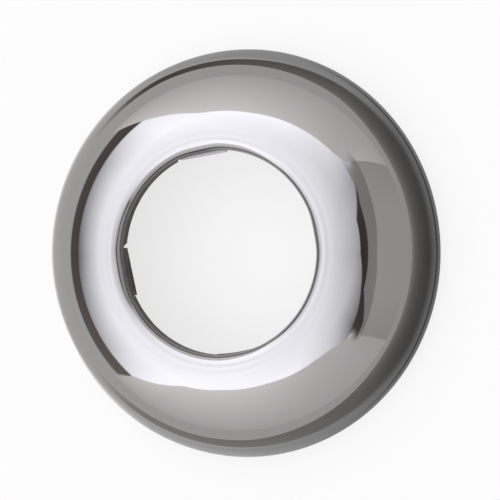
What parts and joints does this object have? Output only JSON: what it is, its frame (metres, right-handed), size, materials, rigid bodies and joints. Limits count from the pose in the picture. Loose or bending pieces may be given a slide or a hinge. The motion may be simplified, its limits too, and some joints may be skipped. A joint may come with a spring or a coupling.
{
  "type": "tap escutcheon",
  "caption": "Round domed trim ring that slips over a tap's sleeve and covers the hole around it, with pressed-in grip tabs in the collar of its hole.",
  "frame": {"origin": "on the ring's axis, in the plane of the rim that meets the wall or deck", "axes": "+Z along the ring's axis, out of the wall or deck towards the user; +X is 11 degrees clockwise, seen from the front, of the middle of one grip tab"},
  "size_m": [0.0634, 0.0634, 0.014],
  "materials": {
    "chrome_plate": "polished"
  },
  "bodies": {
    "root": {"escutcheon": "chrome_plate"}
  },
  "joints": []
}
